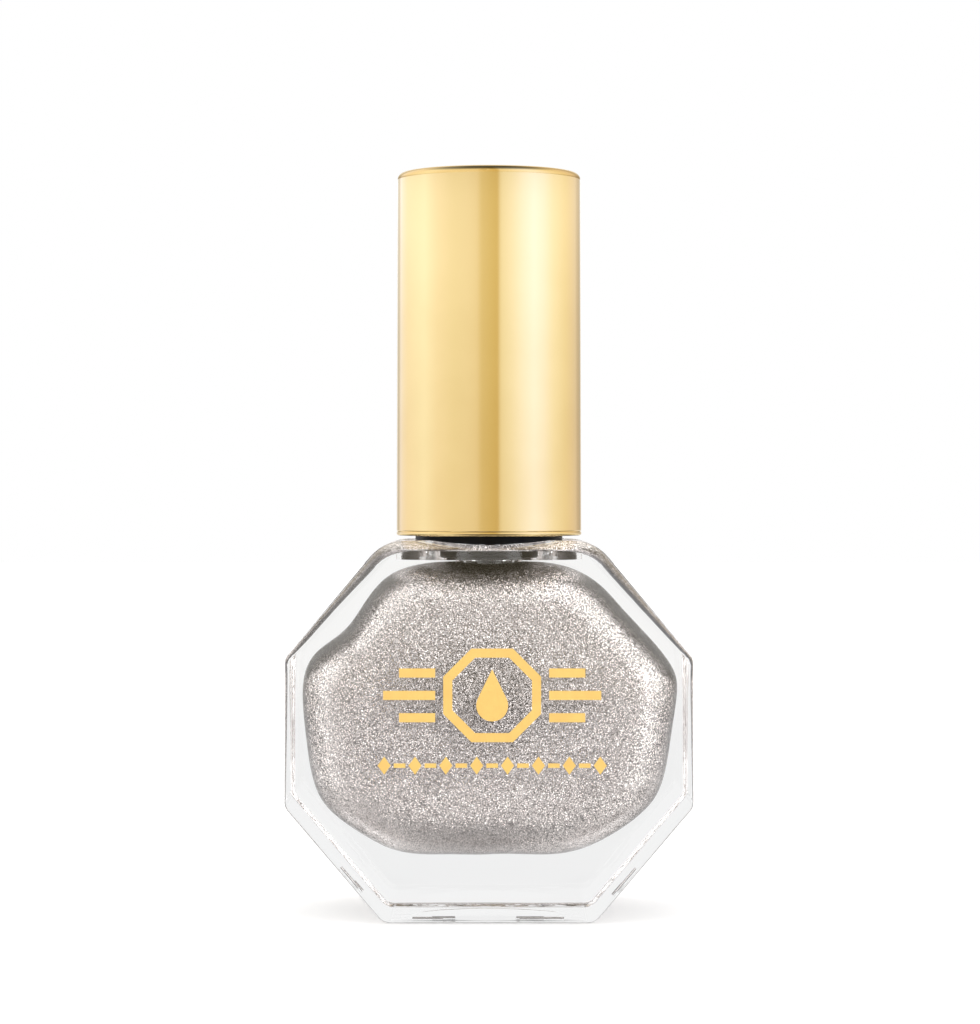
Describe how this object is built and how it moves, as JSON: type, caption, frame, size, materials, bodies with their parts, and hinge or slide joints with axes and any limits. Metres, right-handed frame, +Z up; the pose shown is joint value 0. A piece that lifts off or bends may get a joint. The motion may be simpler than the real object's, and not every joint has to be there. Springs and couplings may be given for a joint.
{
  "type": "nail polish bottle",
  "caption": "Octagonal clear glass nail lacquer bottle with a tall round metal overcap on a threaded brush closure.",
  "frame": {"origin": "centre of the base, on the surface that the bottle stands on", "axes": "+Z up along the cap's axis, +X to the right along the bottle's width, the printed front face looks towards -Y"},
  "size_m": [0.0386, 0.0216, 0.0716],
  "materials": {
    "clear_glass": "polished clear flint glass",
    "shimmer_lacquer": "liquid silver-taupe lacquer with fine metallic shimmer",
    "steel_ball": "polished stainless steel",
    "gold_metal": "satin-bright gold anodised aluminium",
    "black_plastic": "moulded black polypropylene",
    "seal_foam": "soft white polyethylene",
    "stem_plastic": "moulded black polyethylene",
    "nylon_bristle": "fine black nylon filaments",
    "staple_wire": "flat steel wire",
    "gold_foil": "hot-stamped gold foil"
  },
  "bodies": {
    "bottle": {"glass_bottle": "clear_glass", "lacquer": "shimmer_lacquer", "mixing_balls": "steel_ball", "foil_print": "gold_foil"},
    "seal": {"neck_seal": "seal_foam"},
    "brush": {"brush_stem": "stem_plastic", "brush_bristles": "nylon_bristle", "brush_staple": "staple_wire"},
    "cap": {"inner_cap": "black_plastic", "overcap": "gold_metal"}
  },
  "joints": [
    {"name": "cap_lift", "type": "slide", "parent": "bottle", "child": "seal", "axis": [0, 0, 1], "range_m": [0, 0.048]},
    {"name": "cap_rise", "type": "slide", "parent": "seal", "child": "brush", "axis": [0, 0, 1], "range_m": [0, 0.0032]},
    {"name": "cap_turn", "type": "hinge", "parent": "brush", "child": "cap", "pos_m": [0, 0, 0.04], "axis": [0, 0, 1], "range_deg": [0, 540]}
  ],
  "couplings": [
    {"joint": "cap_rise", "follows": "cap_turn", "m_per_rad": 0.00033741}
  ]
}
